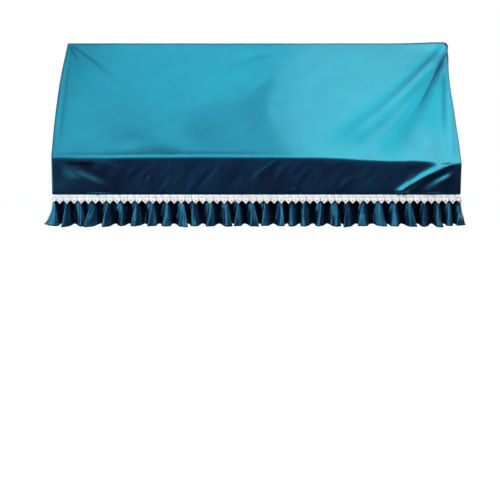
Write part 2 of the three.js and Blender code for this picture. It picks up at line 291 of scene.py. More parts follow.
def bumpOf(nodes, links, height, strength, distance, under=None):
    bump = nodes.new("ShaderNodeBump")
    setInputs(bump, {"Strength": strength, "Distance": distance})
    links.new(height, bump.inputs["Height"])
    if under is not None:
        links.new(under, bump.inputs["Normal"])
    return bump.outputs["Normal"]


# Velvet: a short satin pile, navy in itself and teal where it mirrors the light
velvet = {
    # the deep end is near black; in the frill's valleys it serves as painted shade
    "deep": (0.0006, 0.0016, 0.006),
    "mid": (0.0046, 0.0084, 0.038),
    "pale": (0.0090, 0.0200, 0.056),
    "lustre": (0.014, 0.74, 1.0),
    "lustreIor": 2.25,
    "roughness": (0.28, 0.42),  # where the pile lies flat, and where it stands
    "glossRoughness": 0.45,
    "sheen": 0.05,
    "sheenRoughness": 0.35,
    "sheenTint": (0.50, 0.72, 0.95),
    "unevenness": 0.25,
    "midStroke": 0.40,
    "flatStrokes": (0.24, 0.40),
    "fibres": 1100.0,
    "patches": 5.0,
    "pileBump": 0.25,
    "pileDepth": 0.0004,
    "brushBump": 0.35,
    "brushDepth": 0.002,
}
# a shaded copy of the velvet for the front and the frill, where the light is dimmer: its highlights are
# painted bluer, and its roughness differs
shadedVelvet = {
    **velvet,
    "lustre": (0.045, 0.66, 1.0),
    "roughness": (0.24, 0.46),
}


def makeVelvet(name, pile):
    material, nodes, links, shader = newMaterial(name)
    fibres = placeFibres(nodes, pile)
    brush = fibres.outputs["Brush"]
    pileAndShade = {}
    # from the mesh: the pile's tone with painted light and shade, its white gloss with painted highlights,
    # and how much it darkens, with painted shade
    for label in ("napLightAndShade", "glossAndHighlight", "dullAndShade"):
        node = nodes.new("ShaderNodeAttribute")
        node.attribute_name = label
        pileAndShade[label] = node.outputs["Fac"]
    toneAndShade = nodes.new("ShaderNodeMath")
    toneAndShade.operation = "MULTIPLY_ADD"
    toneAndShade.inputs[1].default_value = pile["unevenness"]
    links.new(brush, toneAndShade.inputs[0])
    links.new(pileAndShade["napLightAndShade"], toneAndShade.inputs[2])
    stops = [(0.0, pile["deep"]), (pile["midStroke"], pile["mid"]), (1.0, pile["pale"])]
    links.new(rampOf(nodes, links, toneAndShade.outputs["Value"], stops), shader.inputs["Base Color"])
    standing = rangeOf(nodes, links, toneAndShade.outputs["Value"], *pile["flatStrokes"], *pile["roughness"])
    links.new(standing, shader.inputs["Roughness"])
    links.new(pileAndShade["dullAndShade"], shader.inputs["Metallic"])
    links.new(pileAndShade["glossAndHighlight"], shader.inputs["Coat Weight"])
    setInputs(shader, {
        "Coat Roughness": pile["glossRoughness"],
        "IOR": pile["lustreIor"],
        "Specular Tint": (*pile["lustre"], 1),
        "Sheen Weight": pile["sheen"],
        "Sheen Roughness": pile["sheenRoughness"],
        "Sheen Tint": (*pile["sheenTint"], 1),
    })
    brushed = bumpOf(nodes, links, brush, pile["brushBump"], pile["brushDepth"])
    hairs = bumpOf(nodes, links, fibres.outputs["Fibre"], pile["pileBump"], pile["pileDepth"], brushed)
    links.new(hairs, shader.inputs["Normal"])
    return material


# Backing: the plain woven reverse of the velvet
backing = {
    "deep": (0.004, 0.030, 0.052),
    "pale": (0.010, 0.060, 0.090),
    "threads": 900.0,  # threads in a metre
    "wobble": 0.4,
    "threadBump": 0.5,
    "threadDepth": 0.0005,
    "roughness": 0.85,
}


def makeBacking():
    material, nodes, links, shader = newMaterial("velvetBacking")
    flat = nodes.new("ShaderNodeUVMap")
    flat.uv_map = "flat"
    waves = []
    for direction in ("X", "Y"):
        wave = nodes.new("ShaderNodeTexWave")
        wave.bands_direction = direction
        # a wave texture has 20 bands at a scale of 1
        setInputs(wave, {"Scale": backing["threads"] / 20, "Distortion": backing["wobble"]})
        links.new(flat.outputs["UV"], wave.inputs["Vector"])
        waves.append(wave.outputs["Fac"])
    crossing = nodes.new("ShaderNodeMath")
    crossing.operation = "MAXIMUM"
    links.new(waves[0], crossing.inputs[0])
    links.new(waves[1], crossing.inputs[1])
    weave = crossing.outputs["Value"]
    stops = [(0.2, backing["deep"]), (0.9, backing["pale"])]
    links.new(rampOf(nodes, links, weave, stops), shader.inputs["Base Color"])
    woven = bumpOf(nodes, links, weave, backing["threadBump"], backing["threadDepth"])
    links.new(woven, shader.inputs["Normal"])
    setInputs(shader, {"Roughness": backing["roughness"]})
    return material


# Cotton: matt white yarn, twisted and a little fuzzy
cotton = {
    "shade": (0.66, 0.66, 0.68),
    "light": (0.79, 0.80, 0.82),
    "fibres": 1500.0,
    "patches": 60.0,
    "twistBump": 0.5,
    "twistDepth": 0.0005,
    "roughness": 0.8,
    "sheen": 0.2,
}


def makeCotton():
    material, nodes, links, shader = newMaterial("cotton")
    fibres = placeFibres(nodes, cotton)
    stops = [(0.25, cotton["shade"]), (0.6, cotton["light"])]
    links.new(rampOf(nodes, links, fibres.outputs["Brush"], stops), shader.inputs["Base Color"])
    twist = bumpOf(nodes, links, fibres.outputs["Fibre"], cotton["twistBump"], cotton["twistDepth"])
    links.new(twist, shader.inputs["Normal"])
    setInputs(shader, {"Roughness": cotton["roughness"], "Sheen Weight": cotton["sheen"]})
    return material


velvetFace = makeVelvet("velvet", velvet)
velvetShaded = makeVelvet("velvetShaded", shadedVelvet)
velvetBack = makeBacking()
cottonYarn = makeCotton()
print("finishes ready")

# Main cloth: back, top, slope and front in one length
# Each fold has its start and end, in x from the middle and in length down from the front edge of the top,
# its half width at both ends, its height (below zero for a trough), the shares of its length where
# it is full and where it starts to fade, and its bend and how much wider one side is,
# unless these are the defaults
foldColumns = ("x", "down", "toX", "toDown", "width", "toWidth", "height", "full", "fade", "bend", "steep")
foldDefaults = {"bend": 0, "steep": 1}
cornerFolds = [
    # fan from the top right corner
    (0.752, -0.006, 0.25, 0.495, 0.006, 0.04, -0.0012, 0.05, 0.6, -0.012, 0.8),
    (0.74, 0.03, 0.33, 0.45, 0.008, 0.03, 0.0011, 0.2, 0.6, -0.014),
    (0.7, 0.1, 0.32, 0.49, 0.008, 0.026, -0.0016, 0.25, 0.75, -0.02, 0.8),
    (0.735, 0.07, 0.42, 0.5, 0.007, 0.018, 0.0016, 0.2, 0.7, -0.033),
    (0.752, 0.05, 0.622, 0.325, 0.008, 0.012, -0.0026, 0.12, 0.5, 0, 0.8),
    (0.7, 0.19, 0.503, 0.52, 0.01, 0.046, -0.0028, 0.3, 0.55, 0, 0.8),
    (0.756, 0.03, 0.735, 0.09, 0.005, 0.006, 0.0018, 0.3, 0.5),
    (0.752, 0.085, 0.665, 0.3, 0.005, 0.011, 0.0018, 0.3, 0.5),
    (0.744, 0.13, 0.712, 0.46, 0.004, 0.01, -0.0024, 0.2, 0.5, 0.006, 0.8),
    (0.744, 0.27, 0.732, 0.52, 0.006, 0.008, 0.0014, 0.3, 0.8),
    # creases from the top left corner
    (-0.754, -0.004, -0.515, 0.23, 0.004, 0.016, -0.001, 0.06, 0.3, -0.016, 0.7),
    (-0.69, 0.036, -0.47, 0.24, 0.004, 0.014, -0.0006, 0.2, 0.4, -0.012, 0.7),
    (-0.752, 0.014, -0.606, 0.32, 0.003, 0.009, -0.001, 0.06, 0.2, -0.006, 0.7),
    (-0.69, 0.17, -0.55, 0.37, 0.008, 0.014, -0.0006, 0.4, 0.5, 0.006),
    (-0.74, 0.06, -0.742, 0.48, 0.006, 0.008, -0.0012, 0.2, 0.8, 0.004, 0.8),
]
mainFolds = [
    # a tent of ridges above the right end of the lower edge
    (0.6, 0.435, 0.56, 0.535, 0.01, 0.028, 0.0012, 0.5, 0.8),
    (0.642, 0.445, 0.606, 0.515, 0.006, 0.01, -0.0006, 0.5, 0.6),
    (0.664, 0.405, 0.654, 0.535, 0.01, 0.04, 0.001, 0.5, 0.8),
    # soft creases across the slope
    (-0.374, 0.055, -0.47, 0.18, 0.016, 0.02, -0.0006, 0.5, 0.5, 0.004),
    (-0.438, 0.3, -0.375, 0.385, 0.008, 0.01, -0.0005, 0.5, 0.5, 0.004),
    (-0.259, 0.335, -0.175, 0.49, 0.007, 0.012, -0.0006, 0.3, 0.6, -0.004),
    (-0.205, 0.35, -0.15, 0.48, 0.006, 0.01, -0.0004, 0.4, 0.6, -0.004),
    (0.11, 0.04, -0.13, 0.095, 0.012, 0.018, -0.0006, 0.4, 0.5, 0.008),
    (0.205, 0.26, 0.18, 0.43, 0.005, 0.006, -0.0003, 0.4, 0.5, 0.003),
    (0.235, 0.25, 0.2, 0.44, 0.005, 0.006, 0.0003, 0.4, 0.5, 0.003),
    (0.29, 0.26, 0.215, 0.44, 0.006, 0.007, -0.0003, 0.4, 0.5, 0.003),
    (0.33, 0.06, 0.18, 0.33, 0.026, 0.04, -0.0008, 0.5, 0.5, 0.01),
    # the lip along the lower edge and the trough above it
    (-0.765, 0.522, 0.25, 0.522, 0.011, 0.009, 0.0016, 0.03, 0.6),
    (-0.56, 0.48, -0.24, 0.502, 0.03, 0.024, -0.0014, 0.4, 0.6),
]
# the long pull at the right end of the front, and the other folds there
bigPull = (0.768, 0.506, 0.506, 0.687, 0.015, 0.011, 0.0145, 0.36, 0.86, 0.004, 1.4)
frontFolds = [
    (0.752, 0.554, 0.622, 0.686, 0.022, 0.026, 0.0104, 0.46, 0.8, 0, 1.1),
    (0.742, 0.562, 0.646, 0.66, 0.016, 0.018, 0.0036, 0.45, 0.55, 0, 1.1),
    (-0.735, 0.566, -0.49, 0.676, 0.022, 0.026, 0.0092, 0.4, 0.55, 0.004, 1.5),
    (-0.73, 0.54, -0.47, 0.543, 0.01, 0.01, 0.002, 0.3, 0.6),
    (-0.61, 0.544, -0.48, 0.592, 0.012, 0.014, 0.0034, 0.4, 0.5, -0.004),
    (-0.66, 0.645, -0.48, 0.668, 0.009, 0.011, 0.0022, 0.4, 0.6, 0.004),
    (-0.48, 0.55, -0.56, 0.64, 0.016, 0.02, 0.0016, 0.4, 0.6),
    (-0.376, 0.556, -0.448, 0.63, 0.006, 0.008, 0.0014, 0.4, 0.5, 0.002),
    (0.09, 0.534, -0.05, 0.656, 0.007, 0.01, 0.0025, 0.2, 0.6, 0.008, 0.8),
    (0.078, 0.641, 0.036, 0.662, 0.004, 0.005, 0.0022, 0.4, 0.6),
    (0.164, 0.646, 0.11, 0.662, 0.004, 0.005, 0.002, 0.4, 0.6),
    (-0.04, 0.534, 0.004, 0.6, 0.005, 0.006, -0.0012, 0.2, 0.5),
    (0.038, 0.534, 0.026, 0.572, 0.005, 0.006, 0.0012, 0.2, 0.5),
    (0.064, 0.534, 0.036, 0.576, 0.005, 0.006, -0.0012, 0.2, 0.5),
    (0.076, 0.58, 0.056, 0.64, 0.012, 0.014, -0.0022, 0.5, 0.5),
    (-0.06, 0.58, -0.09, 0.64, 0.014, 0.016, -0.0022, 0.5, 0.5),
    (0.136, 0.54, 0.05, 0.65, 0.008, 0.01, 0.0022, 0.4, 0.6, 0.004),
    (0.376, 0.59, 0.306, 0.664, 0.008, 0.01, 0.0024, 0.4, 0.6, 0.004),
    (-0.18, 0.58, -0.26, 0.66, 0.008, 0.01, 0.0012, 0.4, 0.6, 0.004),
]
# folds that fall down the back from the rear edge of the top
backFolds = [
    (-0.64, -0.385, -0.6, -1.05, 0.014, 0.05, 0.006, 0.3, 0.99, 0.01, 0.9),
    (-0.52, -0.4, -0.47, -1.05, 0.014, 0.04, -0.0045, 0.3, 0.99, -0.008),
    (-0.33, -0.38, -0.35, -1.05, 0.016, 0.055, 0.0065, 0.35, 0.99, 0.008),
    (-0.18, -0.42, -0.2, -1.05, 0.014, 0.04, -0.004, 0.35, 0.99, 0.006, 0.9),
    (-0.04, -0.39, 0.01, -1.05, 0.014, 0.048, 0.0055, 0.3, 0.99, -0.01),
    (0.19, -0.385, 0.17, -1.05, 0.016, 0.055, 0.0065, 0.3, 0.99, 0.006, 0.9),
    (0.3, -0.43, 0.31, -1.05, 0.012, 0.036, -0.004, 0.4, 0.99),
    (0.44, -0.38, 0.47, -1.05, 0.015, 0.05, 0.006, 0.3, 0.99, -0.008),
    (0.62, -0.395, 0.58, -1.05, 0.013, 0.045, -0.005, 0.3, 0.99, 0.008, 0.9),
]
# Painted shade along the creases and troughs, in the same columns, with the darkening in place of the height
creaseShadeStrokes = [
    (-0.754, -0.004, -0.515, 0.23, 0.005, 0.018, 0.28, 0.06, 0.2, -0.016, 0.7),
    (-0.746, 0.016, -0.69, 0.12, 0.006, 0.01, 0.4, 0.1, 0.3, -0.004, 0.7),
    (-0.56, 0.39, -0.27, 0.515, 0.03, 0.034, 0.22, 0.5, 0.7),
    (-0.48, 0.488, -0.24, 0.502, 0.02, 0.018, 0.24, 0.3, 0.7),
    (0.752, -0.006, 0.56, 0.19, 0.005, 0.012, 0.15, 0.05, 0.3, -0.004, 0.8),
    (0.752, -0.006, 0.25, 0.495, 0.01, 0.04, 0.08, 0.05, 0.7, -0.012, 0.8),
    (0.7, 0.1, 0.32, 0.49, 0.01, 0.026, 0.07, 0.25, 0.8, -0.02, 0.8),
    (0.754, 0.044, 0.61, 0.345, 0.008, 0.008, 0.95, 0.08, 0.28, 0, 0.9),
    (0.7, 0.19, 0.503, 0.52, 0.014, 0.048, 0.2, 0.2, 0.6, 0, 0.7),
    (0.744, 0.13, 0.714, 0.46, 0.005, 0.012, 0.32, 0.2, 0.5, 0.006, 0.8),
]
# painted shade on the front, beside its folds and along the big pull
frontShadeStrokes = [
    (-0.725, 0.548, -0.58, 0.552, 0.01, 0.014, 0.85, 0.25, 0.7),
    (-0.736, 0.56, -0.716, 0.63, 0.016, 0.016, 0.45, 0.3, 0.7),
    (-0.67, 0.554, -0.53, 0.616, 0.012, 0.014, 0.6, 0.3, 0.6),
    (0.768, 0.506, 0.506, 0.687, 0.024, 0.024, 0.16, 0.1, 0.9, 0.004, 1.4),
]
# Painted shade where the white gloss is taken out of creases, and painted highlights where more white gloss
# lies along ridges, in the same columns
unglossedShadeStrokes = [
    (0.752, -0.006, 0.23, 0.505, 0.01, 0.052, 0.9, 0.05, 0.8, -0.012, 0.8),
    (0.7, 0.1, 0.32, 0.49, 0.012, 0.03, 0.8, 0.15, 0.8, -0.02, 0.8),
    (0.752, 0.05, 0.46, 0.52, 0.014, 0.05, 1, 0.05, 0.9, 0, 0.8),
    (0.74, 0.12, 0.64, 0.44, 0.03, 0.06, 0.9, 0.2, 0.7),
    (-0.754, -0.004, -0.6, 0.32, 0.03, 0.06, 0.8, 0.1, 0.6),
]
highlightGlossStrokes = [
    (0.74, 0.03, 0.33, 0.45, 0.008, 0.026, 0.1, 0.2, 0.8, -0.014),
    (0.664, 0.39, 0.65, 0.54, 0.014, 0.06, 0.09, 0.7, 0.99),
    (0.768, 0.506, 0.506, 0.687, 0.018, 0.018, 0.1, 0.05, 0.7, 0.004, 1.4),
]
# The slope's tones: the upper edge of its dark patch, and how dull or glossy its parts are
slopeTones = {
    "edge": ((-0.300, 0.420), (-0.260, 0.310), (-0.043, 0.240), (0.074, 0.120), (0.110, 0.080)),  # x and down
    "edgeWander": 0.014,
    "edgeSoft": (-0.010, 0.035),
    "leftEnd": (-0.32, -0.22),
    "line": (0.112, -0.40, 0.60),  # x of the line at the top, and what the depth and its square add
    "lineWander": 0.010,
    # an amount, and from depth to depth: the line turns right at its foot,
    # and is softer there and at its head
    "lineFoot": (0.06, 0.40, 0.53),
    "soft": 0.02,
    "softFoot": (0.05, 0.36, 0.50),
    "softHead": (0.06, 0.18, 0),
    # an amount, and from place to place right of the line, in its softness and in metres
    "lineNear": (0.6, -0.8, 1.2),
    "lineFar": (0.4, 0, 0.16),
    "farLeft": (0.37, 0.55),
    "farDown": (-0.05, 0.2),
    "frontEase": (-0.012, 0.02),
    "patchSizes": (0.06, 0.025),
    "bareFolds": (0, 0.4),
    "dullAndShade": 0.18,
    "middle": 0.09,
    "left": 0.10,
    "uneven": 0.03,
    "streak": 0.035,
    "streakSize": 0.014,
    "streakLean": 0.7,
    "streakStretch": 4,
    "streakEase": (-0.6, 0.8),
    "glossAndHighlight": 0.05,
    "rightGloss": 0.24,
    "frontGloss": 0.08,
    "napLightAndShade": 0.28,
    "rightNap": 0.12,
    "frontNapAndShade": -0.09,
    "frontLeftNap": (-0.03, 0.1, 0.5),  # an amount, and from place to place left of the middle
}
# What the fine creases of the front and the slope are drawn from
frontCreases = {
    "count": 64,
    "across": (-0.44, 0.62),
    "down": (0.532, 0.600),
    "reach": (0.050, 0.120),
    "lean": (0.20, 1.20),  # how far each runs to the left for its fall
    "width": (0.0045, 0.0110),
    "rise": (0.09, 0.20),  # height or depth beside the width
    "seed": 17,
}
slopeCreases = {
    "count": 70,
    "across": (-0.68, 0.64),
    "down": (0.02, 0.42),
    "reach": (0.080, 0.200),
    "lean": (-0.50, 0.90),
    "width": (0.0080, 0.0180),
    "rise": (0.006, 0.018),
    "seed": 23,
}
creaseShape = {
    "widens": 1.2,
    "full": 0.4,
    "fade": 0.5,
    "bend": 0.004,
}


def creaseRows(creases):
    # fine slanting creases scattered over a part of the cloth
    rng = np.random.default_rng(creases["seed"])
    rows = []
    for _ in range(creases["count"]):
        x, down = rng.uniform(*creases["across"]), rng.uniform(*creases["down"])
        reach, lean = rng.uniform(*creases["reach"]), rng.uniform(*creases["lean"])
        width, rise = rng.uniform(*creases["width"]), rng.choice((-1, 1)) * rng.uniform(*creases["rise"])
        end = (x - reach * lean, down + reach)
        bend = rng.uniform(-creaseShape["bend"], creaseShape["bend"])
        widths = (width, width * creaseShape["widens"])
        shape = (width * rise, creaseShape["full"], creaseShape["fade"], bend)
        rows.append((x, down, *end, *widths, *shape))
    return rows


mainSheet = {
    "columns": 228,
    "legSteps": (22, 16, 88, 28),
    "arcSteps": 7,
    "curl": 0.004,  # the cloth turns over the end seams with this radius
    "overlap": 0.0024,
    "curlSteps": 4,
    "rippleSize": 0.16,
    "ripple": 0.0006,
    "creaseSize": 0.045,
    "crease": 0.0002,
    "backWave": 0.006,
    "backEase": (0.39, 0.72),  # behind the front edge of the top
    "topRipple": 0.0012,
    "topRippleSize": 0.11,
    "topMiddle": -0.17,
    "topEase": (0.17, 0.12),
    # where folds fade in: past the lower edge of the slope, up from the hem, and in from the seam
    "frontEase": (-0.003, 0.022),
    "pullEase": (-0.006, 0.009),
    "hemEase": (0.002, 0.014),
    "cornerEase": (0.001, 0.010),
}


def foldRelief(x, down, row):
    fold = {**foldDefaults, **dict(zip(foldColumns, row))}
    acrossWay, downWay = fold["toX"] - fold["x"], fold["toDown"] - fold["down"]
    reach = math.hypot(acrossWay, downWay)
    acrossWay, downWay = acrossWay / reach, downWay / reach
    share = ((x - fold["x"]) * acrossWay + (down - fold["down"]) * downWay) / reach
    inside = np.clip(share, 0, 1)
    away = (down - fold["down"]) * acrossWay - (x - fold["x"]) * downWay
    away = away - fold["bend"] * 4 * inside * (1 - inside)
    width = blend(fold["width"], fold["toWidth"], inside)
    width = np.where(away > 0, width * fold["steep"], width)
    rise = smoothStep(share, 0, fold["full"]) * (1 - smoothStep(share, fold["fade"], 1))
    return fold["height"] * rise * np.exp(-((away / width) ** 2))


def foldSum(x, down, rows):
    return sum(foldRelief(x, down, row) for row in rows)


def mainRelief(x, down, legs, inFromSeam):
    freeOfSeam = smoothStep(inFromSeam, *hang["seamEase"])
    toHem = slopeLength + frontLength - down
    depth = blend(hang["leftSag"], hang["rightSag"], smoothStep(x, *hang["sagTurn"]))
    sag = -depth * np.sin(math.pi * np.clip(down / slopeLength, 0, 1)) * (down > 0)
    pastEdge = down - slopeLength
    onSlope = foldSum(x, down, mainFolds + creaseRows(slopeCreases)) * (down > 0)
    onFront = foldSum(x, down, frontFolds + creaseRows(frontCreases))
    relief = onSlope + onFront * smoothStep(pastEdge, *mainSheet["frontEase"])
    pulled = foldRelief(x, down, bigPull)
    relief = relief + pulled * smoothStep(pastEdge, *mainSheet["pullEase"])
    corners = foldSum(x, down, cornerFolds) * smoothStep(down, 0, 0.01)
    ripples = softNoise(x, down, mainSheet["rippleSize"], 3) * smoothStep(down, 0, 0.1)
    relief = relief + mainSheet["ripple"] * ripples
    relief = relief + mainSheet["crease"] * softNoise(x + down, down, mainSheet["creaseSize"], 5)
    onTop = (legs == 1) * smoothStep(np.abs(down - mainSheet["topMiddle"]), *mainSheet["topEase"])
    topRipples = 1 + softNoise(x, down * 1.5, mainSheet["topRippleSize"], 8)
    relief = relief + mainSheet["topRipple"] * topRipples * onTop
    onBack = (legs == 0) * smoothStep(-down, *mainSheet["backEase"])
    wave = np.sin(x * 15 + 0.6 * np.sin(x * 4.1)) + softNoise(x, down * 0.3, 0.2, 12)
    relief = relief + mainSheet["backWave"] * onBack * wave
    relief = relief + (legs == 0) * foldSum(x, down, backFolds)
    height, peakX, withinX, withinDown = hang["peak"]
    corners = corners + height * np.exp(-(((x - peakX) / withinX) ** 2) - (down / withinDown) ** 2)
    hemFade = smoothStep(toHem, *mainSheet["hemEase"])
    roll = -hang["hemRoll"] * (1 - smoothStep(toHem, 0, hang["hemRollHeight"])) ** 2
    atCorner = smoothStep(inFromSeam, *mainSheet["cornerEase"])
    sag = sag * smoothStep(inFromSeam, 0, hang["sagEase"])
    return freeOfSeam * hemFade * relief + sag + atCorner * corners + roll


def mainPileAndShade(x, down, patch):
    # the right half of the slope is lighter and glossier, with a dark patch to the left of the line between
    # them
    onFront = smoothStep(down - slopeLength, *patch["frontEase"])
    onSlope = (down > 0) * (1 - onFront)
    low = np.clip(down, 0, slopeLength)
    broad, fine = patch["patchSizes"]
    uneven = softNoise(x, down, broad, 61) + 0.5 * softNoise(x, down, fine, 62)
    along = (down - patch["streakLean"] * x) / patch["streakStretch"]
    streaks = softNoise(x + patch["streakLean"] * down, along, patch["streakSize"], 64)
    streaks = streaks * smoothStep(uneven, *patch["streakEase"])
    start, falling, bending = patch["line"]
    line = start + falling * low + bending * low ** 2 + raised(low, *patch["lineFoot"])
    line = line + patch["lineWander"] * uneven
    soft = patch["soft"] + raised(low, *patch["softFoot"]) + raised(low, *patch["softHead"])
    right = raised((x - line) / soft, *patch["lineNear"]) + raised(x - line, *patch["lineFar"])
    upper = np.interp(x, *np.transpose(patch["edge"])) + patch["edgeWander"] * uneven
    inPatch = smoothStep(down - upper, *patch["edgeSoft"]) * (1 - right)
    inPatch = inPatch * smoothStep(x, *patch["leftEnd"])
    farLeft = smoothStep(-x - patch["uneven"] * uneven, *patch["farLeft"])
    farLeft = farLeft * smoothStep(down, *patch["farDown"])
    # painted shade along the creases
    creaseShade = foldSum(x, down, creaseShadeStrokes)
    dullAndShade = patch["middle"] * (1 - right) + patch["dullAndShade"] * inPatch
    dullAndShade = dullAndShade + patch["left"] * farLeft + patch["streak"] * streaks
    dullAndShade = dullAndShade + patch["uneven"] * uneven + creaseShade
    # no white gloss in the painted crease shade
    unglossedShade = np.clip(foldSum(x, down, unglossedShadeStrokes) + smoothStep(creaseShade, *patch["bareFolds"]), 0, 1)
    right = right * onSlope
    glossAndHighlight = patch["glossAndHighlight"] + patch["rightGloss"] * right + patch["frontGloss"] * onFront
    # painted highlights: more white gloss along the ridges
    glossAndHighlight = glossAndHighlight * (1 - unglossedShade) + foldSum(x, down, highlightGlossStrokes)
    # the front's pile is smoother and its colour darker, a painted shade for its dimmer light
    frontNapAndShade = patch["frontNapAndShade"] + raised(-x, *patch["frontLeftNap"])
    napLightAndShade = patch["napLightAndShade"] + patch["rightNap"] * right + frontNapAndShade * onFront
    # painted shade on the front
    dullAndShade = np.clip(dullAndShade, 0, 1) * onSlope + onFront * foldSum(x, down, frontShadeStrokes)
    return {"napLightAndShade": napLightAndShade, "glossAndHighlight": glossAndHighlight, "dullAndShade": np.clip(dullAndShade, 0, 1)}


def makeMainCloth():
    outline = endOutline(0, mainSheet["legSteps"], mainSheet["arcSteps"])
    shares = np.linspace(-1, 1, mainSheet["columns"] + 1)
    bends = np.linspace(0, math.pi / 2, mainSheet["curlSteps"] + 1)[1:]
    shares = np.concatenate([[-1] * (len(bends) + 1), shares, [1] * (len(bends) + 1)])
    angles = np.concatenate([bends[-1:], bends[::-1], np.zeros(mainSheet["columns"] + 1), bends, bends[-1:]])
    tails = np.zeros(len(shares))
    tails[[0, -1]] = mainSheet["curl"]  # the last strip runs straight down the end
    share, down = np.meshgrid(shares, outline["down"])
    legs = np.repeat(outline["legs"][:, None], len(shares), axis=1)
    half = cover["halfWidth"] + mainSheet["overlap"] - mainSheet["curl"] + seamBow(share, down)
    x = share * half
    relief = mainRelief(x, down, legs, half - np.abs(x))
    inward = mainSheet["curl"] * (1 - np.cos(angles)) + tails
    offset = relief - inward[None, :]
    points = np.empty((*x.shape, 3))
    points[..., 0] = x + np.sign(share) * mainSheet["curl"] * np.sin(angles)[None, :]
    points[..., 1] = outline["points"][:, 0:1] + outline["normals"][:, 0:1] * offset
    points[..., 2] = outline["points"][:, 1:2] + outline["normals"][:, 1:2] * offset - edgeDroop(x, down)
    cloth = np.stack([x, -down], axis=-1)
    pile = mainPileAndShade(x, down, slopeTones)
    piece = clothObject("mainCloth", points, cloth, pile, cover["thickness"], velvetFace, velvetBack)
    for material in (velvetShaded, velvetBack):
        piece.data.materials.append(material)
    # the front takes the shaded copy of the velvet, except the big pull, which keeps the lit one
    pulled = foldRelief(x, down, bigPull) > 0.1 * bigPull[foldColumns.index("height")]
    finish = np.where((legs >= 3) & ~pulled, 2, 0)[1:, 1:]  # the big pull shines like the slope
    piece.data.polygons.foreach_set("material_index", finish.ravel().astype(np.int32))
    return piece


mainCloth = makeMainCloth()
print("main cloth:", len(mainCloth.data.polygons), "faces")

# Side panels: five-cornered ends that hang from the seam of the top and the slope
sidePanel = {
    "legSteps": (1, 34, 60, 1),
    "arcSteps": 4,
    "rows": 64,
    "inset": 0.0026,
    "bowFade": 1.5,
    "bowReach": (0, 0.15),
    "bowDepth": (0, 0.5),
    "ripple": 0.0022,
    "rippleSize": 0.13,
    "unlike": 0.018,  # how far the folds of one end lie from those of the other
    # where the folds fade in: from the upright edges in metres, and down the panel in shares of it
    "edgeEase": (0.004, 0.06),
    "seamEase": (0, 0.08),
    "hemEase": (0.99, 0.80),
    "rollStart": 0.965,
    "napLightAndShade": 0.35,
    "napVaries": 0.2,
    "glossAndHighlight": 0.12,
    "dullAndShade": 0.15,
    "dullVaries": 0.15,
}
# folds in the columns of the main cloth's, with y in place of x and the depth below the top in place of down
sideFolds = [
    (-0.165, 0.01, -0.04, 0.56, 0.014, 0.052, 0.01, 0.2, 0.7, 0.01, 0.8),
    (-0.185, 0.02, -0.19, 0.58, 0.012, 0.04, -0.008, 0.25, 0.75, -0.008),
    (0.16, 0.015, 0.08, 0.56, 0.012, 0.046, 0.0085, 0.2, 0.7, -0.01, 0.8),
    (0.13, 0.06, 0.02, 0.54, 0.016, 0.03, -0.007, 0.3, 0.7, -0.01),
    (-0.25, 0.18, -0.29, 0.58, 0.014, 0.036, 0.008, 0.3, 0.75, 0.006, 0.9),
    (-0.33, 0.3, -0.345, 0.58, 0.012, 0.026, -0.005, 0.35, 0.75, 0.004),
    (-0.43, 0.47, -0.23, 0.56, 0.008, 0.022, 0.005, 0.2, 0.6, 0.006, 0.8),
    (-0.17, 0.006, 0.11, 0.18, 0.008, 0.026, 0.0042, 0.15, 0.5, 0.012, 0.8),
    (0.166, 0.008, -0.06, 0.15, 0.007, 0.022, -0.0036, 0.15, 0.5, 0.01, 0.8),
]


def makeSidePanel(name, side):
    outline = endOutline(sidePanel["inset"], sidePanel["legSteps"], sidePanel["arcSteps"])
    seam = (outline["legs"] > 0) & (outline["legs"] < 3)
    y, z, down = outline["points"][seam, 0], outline["points"][seam, 1], outline["down"][seam]
    z = z - edgeDroop(np.full(len(y), side * cover["halfWidth"]), down)
    if side > 0:
        y, z, down = y[::-1], z[::-1], down[::-1]
    share = np.linspace(0, 1, sidePanel["rows"] + 1)[:, None]
    underSlope = smoothStep(cover["topFrontY"] - y, *sidePanel["bowReach"])
    belowSeam = blend(1, underSlope, smoothStep(share, *sidePanel["bowDepth"]))
    bow = seamBow(side, down)[None, :] * belowSeam * (1 - share) ** sidePanel["bowFade"]
    fromEdge = np.minimum(y - cover["frontY"], cover["rearY"] - y)[None, :]
    below = cover["topZ"] - blend(z[None, :], cover["hemZ"], share)
    folds = foldSum(y[None, :] + side * sidePanel["unlike"], below, sideFolds)
    ripples = sidePanel["ripple"] * softNoise(y + 5, share * 0.8, sidePanel["rippleSize"], 21 + side)
    free = smoothStep(fromEdge, *sidePanel["edgeEase"]) * smoothStep(share, *sidePanel["seamEase"])
    free = free * smoothStep(share, *sidePanel["hemEase"])
    stand = bow + free * (folds + ripples)
    stand = stand - hang["hemRoll"] * smoothStep(share, sidePanel["rollStart"], 1) ** 2
    points = np.empty((len(share), len(y), 3))
    points[..., 0] = side * (cover["halfWidth"] + stand)
    points[..., 1] = y[None, :]
    points[..., 2] = blend(z[None, :], cover["hemZ"], share)
    cloth = np.stack([points[..., 1], points[..., 2]], axis=-1)
    uneven = softNoise(points[..., 1], points[..., 2], 0.2, 63)
    pile = {
        "napLightAndShade": sidePanel["napLightAndShade"] + sidePanel["napVaries"] * uneven,
        "glossAndHighlight": sidePanel["glossAndHighlight"],
        "dullAndShade": sidePanel["dullAndShade"] + sidePanel["dullVaries"] * uneven,
    }
    return clothObject(name, points, cloth, pile, cover["thickness"], velvetFace, velvetBack)


sideLeft = makeSidePanel("sidePanelLeft", -1)
sideRight = makeSidePanel("sidePanelRight", 1)
print("side panels:", len(sideLeft.data.polygons), "faces each")

